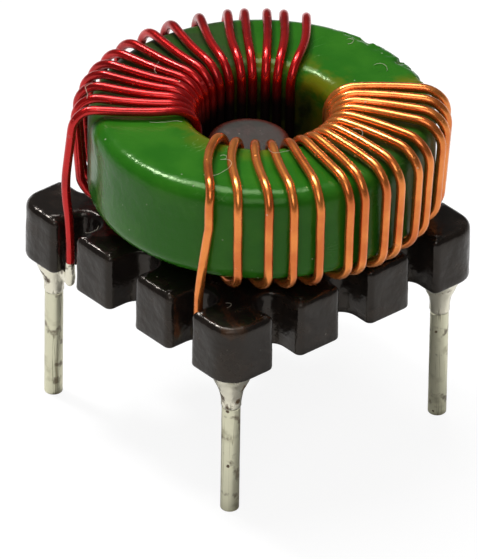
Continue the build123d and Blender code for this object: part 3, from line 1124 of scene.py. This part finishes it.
def pin_rows(own):
    """Radii and heights of a pin, from its rounded tip to its shoulder."""
    rows = []
    for degrees in (0, 30, 60, 90):
        turn = math.radians(degrees)
        inset = own.tip_radius * (1 - math.sin(turn))
        rows.append((own.radius - inset, own.tip_radius * (1 - math.cos(turn))))
    shaft = 40
    for step in range(1, shaft + 1):
        rows.append((own.radius, own.tip_radius + (PIN_SHOULDER - own.tip_radius) * step / shaft))
    return rows


def make_pin(name, material):
    """A round pin, a little uneven along its length, with a cut tip and its square root."""
    x, y = CORNERS[name]
    place = Vector((x * HALF_PITCH, y * HALF_PITCH, 0))
    mesh = bmesh.new()
    sides = 32
    dent_depth = 0.012 * MM
    dent_reach = 0.9 * MM
    rings = []
    for radius, height in pin_rows(settings().pins):
        ring = []
        for side in range(sides):
            turn = 2 * math.pi * side / sides
            out = Vector((math.cos(turn), math.sin(turn), 0))
            spot = place + out * radius + Vector((0, 0, height))
            dent = dent_depth * (0.5 + 0.5 * noise.noise(spot / dent_reach))
            ring.append(spot - out * dent)
        rings.append(ring_of(mesh, ring))
    for lower, upper in zip(rings, rings[1:]):
        band(mesh, lower, upper)
    mesh.faces.new(rings[0])
    half = PIN_ROOT_WIDTH / 2
    square = [(half, half), (-half, half), (-half, -half), (half, -half)]
    foot = ring_of(mesh, [place + Vector((*point, PIN_SHOULDER)) for point in square])
    top = ring_of(mesh, [place + Vector((*point, PIN_ROOT_TOP)) for point in square])
    band(mesh, foot, top)
    mesh.faces.new(top)
    join_rings(mesh, rings[-1], foot)
    title = "tinned_pin_" + name
    piece = new_object(title, finished_mesh(title, mesh), material)
    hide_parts("pin_" + name)


def join_rings(mesh, outer, inner):
    """Join a ring of many corners to a square of four: each side of the square takes a quarter."""
    share = len(outer) // len(inner)
    for index, corner in enumerate(inner):
        start = index * share
        fan = [outer[(start + step) % len(outer)] for step in range(share + 1)]
        for first, second in zip(fan, fan[1:]):
            mesh.faces.new((corner, first, second))
        following = inner[(index + 1) % len(inner)]
        mesh.faces.new((corner, fan[-1], following))


def solder_parts(name, mesh):
    """The cone round the pin's root and the run of solder along the lead's end, as overlapping solids."""
    x, y = CORNERS[name]
    place = Vector((x * HALF_PITCH, y * HALF_PITCH, 0))
    foot_radius = PIN_RADIUS + 0.02 * MM
    top_radius = PIN_ROOT_WIDTH / math.sqrt(2) + 0.79 * MM
    skirt = 0.15 * MM
    flare = 1.7
    sides = 28
    rows = [(PIN_RADIUS - 0.03 * MM, PIN_SHOULDER - skirt)]
    steps = 12
    rise = UNDERSIDE - PIN_SHOULDER
    for step in range(steps + 1):
        t = step / steps
        rows.append((foot_radius + (top_radius - foot_radius) * t ** flare, PIN_SHOULDER + rise * t))
    rings = []
    for radius, height in rows:
        turns = [2 * math.pi * side / sides for side in range(sides)]
        spokes = [Vector((radius * math.cos(turn), radius * math.sin(turn), height)) for turn in turns]
        rings.append(ring_of(mesh, [place + spoke for spoke in spokes]))
    for lower, upper in zip(rings, rings[1:]):
        band(mesh, lower, upper)
    mesh.faces.new(rings[0])
    mesh.faces.new(rings[-1])
    beside, foot = lead_end(name)
    top = Vector((foot.x, foot.y, UNDERSIDE + 0.75 * MM))
    web = Vector((0, 0, UNDERSIDE - 0.12 * MM - foot.z))
    run_radius = 0.34
    web_radius = 0.3
    drops = 10
    runs = ((beside, foot, run_radius), (foot, top, run_radius), (beside + web, foot + web, web_radius))
    for start, end, radius in runs:
        for step in range(drops + 1):
            spot = Matrix.Translation(start.lerp(end, step / drops))
            bmesh.ops.create_icosphere(mesh, subdivisions=2, radius=radius * MM, matrix=spot)


def make_solder(name, material):
    """One solder joint, melted into one lump."""
    mesh = bmesh.new()
    solder_parts(name, mesh)
    title = "solder_joint_" + name
    lump = new_object(title, finished_mesh(title, mesh), material)
    remesh = lump.modifiers.new("melt", "REMESH")
    remesh.mode = "VOXEL"
    remesh.voxel_size = 0.07 * MM
    remesh.use_smooth_shade = True
    soften = lump.modifiers.new("soften", "SMOOTH")
    soften.factor = 0.5
    soften.iterations = 6
    shape = lump.evaluated_get(bpy.context.evaluated_depsgraph_get())
    melted = bpy.data.meshes.new_from_object(shape)
    lump.modifiers.clear()
    lump.data = melted
    lump_depth = 0.05 * MM
    lump_reach = 0.5 * MM
    shrink = 0.03 * MM
    even_height = 0.8 * MM
    for corner in melted.vertices:
        dent = lump_depth * noise.noise(corner.co / lump_reach) - shrink
        corner.co += corner.normal * dent * ramp(corner.co.z, PIN_SHOULDER, PIN_SHOULDER + even_height)
    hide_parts("solder_" + name)


# Lint

def fibre_path(start, heading, length, curl, source, ceiling):
    """The points of one curled fibre that lies loosely on the object, no higher than the object's top."""
    count = 22
    step = length / count
    points = [start]
    lift = source.uniform(0.1, 0.25)
    for index in range(count):
        heading += math.radians(curl) / count + source.gauss(0, 0.16)
        rise = lift * step * math.sin(2 * math.pi * index / count)
        point = points[-1] + Vector((step * math.cos(heading), step * math.sin(heading), rise))
        point.z = min(point.z, ceiling)
        points.append(point)
    return points


def make_lint():
    """Pale fibres of lint on the ring, the windings and the header."""
    own = settings().dust
    source = random.Random(own.seed)
    clear = 0.03 * MM
    over_wire = CAD_BOX[1][2] - 2 * own.fibre_radius
    on_coat = RING_TOP + clear
    on_header = HEADER_TOP + clear
    # Each fibre: x and y in mm, height, heading in degrees, length in mm and curl in degrees
    spots = (
        (-3.5, -5.6, on_coat, 20, 1.5, 200),
        (-3.0, -5.1, on_coat, 250, 1.1, -140),
        (-0.9, -4.1, on_coat, 215, 1.9, 40),
        (4.2, -5.6, over_wire, 60, 3.0, -250),
        (5.0, -2.9, over_wire, 320, 1.5, 190),
        (3.4, -5.0, on_coat, 20, 1.0, 190),
        (-1.3, 8.3, on_coat, 30, 1.0, 120),
        (2.2, 8.1, on_coat, 100, 1.2, 160),
        (-6.3, -6.0, over_wire, 250, 1.6, 90),
        (-4.9, -2.6, over_wire, 170, 1.4, -120),
        (7.2, 1.6, over_wire, 60, 1.5, 160),
        (-3.9, -8.5, on_header, 20, 1.2, 120),
        (6.9, -7.4, on_header, 80, 0.8, 160),
    )
    fibres = []
    for x, y, height, heading, reach, curl in spots:
        start = Vector((x * MM, y * MM, height))
        fibres.append(fibre_path(start, math.radians(heading), reach * MM, curl, source, over_wire))
    mesh = bmesh.new()
    sides = 5
    for path in fibres:
        thread = tube("fibre", path, own.fibre_radius, sides)
        mesh.from_mesh(thread)
        bpy.data.meshes.remove(thread)
    new_object("lint", finished_mesh("lint", mesh), fibre_material())


# Stage

def aim(camera, own):
    """Put the camera at the photograph's viewing angle."""
    target = Vector((-0.29, -0.33, 8.05)) * MM
    flat = math.cos(own.elevation)
    back = Vector((math.sin(own.azimuth) * flat, -math.cos(own.azimuth) * flat, math.sin(own.elevation)))
    camera.location = target + back * own.distance
    look = (-back).to_track_quat("-Z", "Y").to_matrix().to_4x4()
    roll = Matrix.Rotation(own.roll, 4, "Z")
    camera.matrix_world = Matrix.Translation(camera.location) @ look @ roll
    pixels_per_metre = 17960
    image_height = 559
    camera.data.sensor_width = 36.0
    camera.data.lens = pixels_per_metre * own.distance / image_height * camera.data.sensor_width
    camera.data.clip_start = 0.05
    camera.data.clip_end = 20


def add_lamp(name, place, size, power):
    """A square soft lamp that points at the object."""
    target = Vector((0, 0, 12 * MM))
    data = bpy.data.lights.new(name, "AREA")
    data.shape = "SQUARE"
    data.size = size
    data.energy = power
    lamp = bpy.data.objects.new(name, data)
    bpy.context.scene.collection.objects.link(lamp)
    lamp.location = place
    lamp.rotation_euler = (target - Vector(place)).to_track_quat("-Z", "Y").to_euler()


def set_world():
    """A plain studio room: pale near the floor, dim half way up, and bright overhead."""
    world = bpy.data.worlds.new("studio")
    world.use_nodes = True
    tree = world.node_tree
    direction = add(tree, "ShaderNodeTexCoord").outputs["Generated"]
    height = add(tree, "ShaderNodeSeparateXYZ", {0: direction}).outputs["Z"]
    floor_glow = spread(tree, height, 0.03, 0.2, 0.35, 0.1)
    ceiling = spread(tree, height, 0.72, 0.95, 0.0, 0.3)
    level = math_node(tree, "ADD", floor_glow, ceiling)
    background = tree.nodes["Background"]
    tree.links.new(level, background.inputs["Color"])
    background.inputs["Strength"].default_value = 1.0
    bpy.context.scene.world = world


def make_floor():
    """A wide flat floor at the pin tips."""
    mesh = bmesh.new()
    bmesh.ops.create_grid(mesh, x_segments=8, y_segments=8, size=3.0)
    data = bpy.data.meshes.new("floor")
    mesh.to_mesh(data)
    mesh.free()
    floor = bpy.data.objects.new("floor", data)
    bpy.context.scene.collection.objects.link(floor)
    data.materials.append(floor_material())


# Operators

class INDUCTOR_OT_ring(bpy.types.Operator):
    """Make the green coated ring and dress the core inside it"""

    bl_idname = "inductor.ring"
    bl_label = "Coated ring"

    def execute(self, context):
        make_coat()
        dress("ferrite_core", ferrite_material())
        return {"FINISHED"}


class INDUCTOR_OT_windings(bpy.types.Operator):
    """Make the red and the copper coloured winding"""

    bl_idname = "inductor.windings"
    bl_label = "Windings"

    def execute(self, context):
        own = settings().winding
        red = enamel_material("red_enamel", own.red, own.dark_red, RED_SCUFF, 0.75)
        copper = enamel_material("copper_enamel", own.copper, own.dark_copper, COPPER_SCUFF, 0.85)
        make_winding("winding_red", RED_TURNS, own.red_radius, "red_winding", red)
        make_winding(
            "winding_copper", COPPER_TURNS, own.copper_radius, "copper_winding", copper
        )
        return {"FINISHED"}


class INDUCTOR_OT_header(bpy.types.Operator):
    """Make the black moulded header"""

    bl_idname = "inductor.header"
    bl_label = "Header"

    def execute(self, context):
        make_header()
        return {"FINISHED"}


class INDUCTOR_OT_pins(bpy.types.Operator):
    """Make the four tinned pins"""

    bl_idname = "inductor.pins"
    bl_label = "Pins"

    def execute(self, context):
        material = tin_material()
        for name in CORNERS:
            make_pin(name, material)
        return {"FINISHED"}


class INDUCTOR_OT_solder(bpy.types.Operator):
    """Make the four solder joints"""

    bl_idname = "inductor.solder"
    bl_label = "Solder joints"

    def execute(self, context):
        material = solder_material()
        for name in CORNERS:
            make_solder(name, material)
        return {"FINISHED"}


class INDUCTOR_OT_lint(bpy.types.Operator):
    """Lay the fibres of lint on the object"""

    bl_idname = "inductor.lint"
    bl_label = "Lint"

    def execute(self, context):
        make_lint()
        return {"FINISHED"}


class INDUCTOR_OT_stage(bpy.types.Operator):
    """Set the floor, the lamps, the studio and the camera"""

    bl_idname = "inductor.stage"
    bl_label = "Stage"

    def execute(self, context):
        make_floor()
        set_world()
        add_lamp("key", place=(-0.35, -0.05, 0.55), size=0.1, power=2.0)
        add_lamp("overhead", place=(-0.2, 0.05, 0.62), size=0.36, power=2.8)
        add_lamp("fill", place=(0.35, -0.35, 0.5), size=0.35, power=1.0)
        camera = bpy.data.objects.new("camera", bpy.data.cameras.new("camera"))
        context.scene.collection.objects.link(camera)
        context.scene.camera = camera
        aim(camera, settings().stage)
        context.scene.view_settings.view_transform = "Standard"
        return {"FINISHED"}


class INDUCTOR_PT_panel(bpy.types.Panel):
    """Sizes, colours and makers of the inductor"""

    bl_idname = "INDUCTOR_PT_panel"
    bl_label = "Inductor"
    bl_space_type = "VIEW_3D"
    bl_region_type = "UI"
    bl_category = "Inductor"

    def draw(self, context):
        own = context.scene.inductor
        for part in (own.coat, own.winding, own.header, own.pins, own.dust, own.stage):
            box = self.layout.box()
            for name in part.__annotations__:
                box.prop(part, name)
        for maker in MAKERS:
            self.layout.operator(maker.bl_idname)


MAKERS = (
    INDUCTOR_OT_ring,
    INDUCTOR_OT_windings,
    INDUCTOR_OT_header,
    INDUCTOR_OT_pins,
    INDUCTOR_OT_solder,
    INDUCTOR_OT_lint,
    INDUCTOR_OT_stage,
)
CLASSES = (
    CoatSettings,
    WindingSettings,
    HeaderSettings,
    PinSettings,
    DustSettings,
    StageSettings,
    InductorSettings,
    *MAKERS,
    INDUCTOR_PT_panel,
)


def register():
    """Make the settings, operators and panel known."""
    for part in CLASSES:
        bpy.utils.register_class(part)
    bpy.types.Scene.inductor = PointerProperty(type=InductorSettings)


def unregister():
    """Take the settings, operators and panel away."""
    del bpy.types.Scene.inductor
    for part in reversed(CLASSES):
        bpy.utils.unregister_class(part)


def main():
    """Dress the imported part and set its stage."""
    register()
    bpy.ops.inductor.ring()
    bpy.ops.inductor.windings()
    bpy.ops.inductor.header()
    bpy.ops.inductor.pins()
    bpy.ops.inductor.solder()
    bpy.ops.inductor.lint()
    bpy.ops.inductor.stage()


if __name__ == "__main__":
    main()
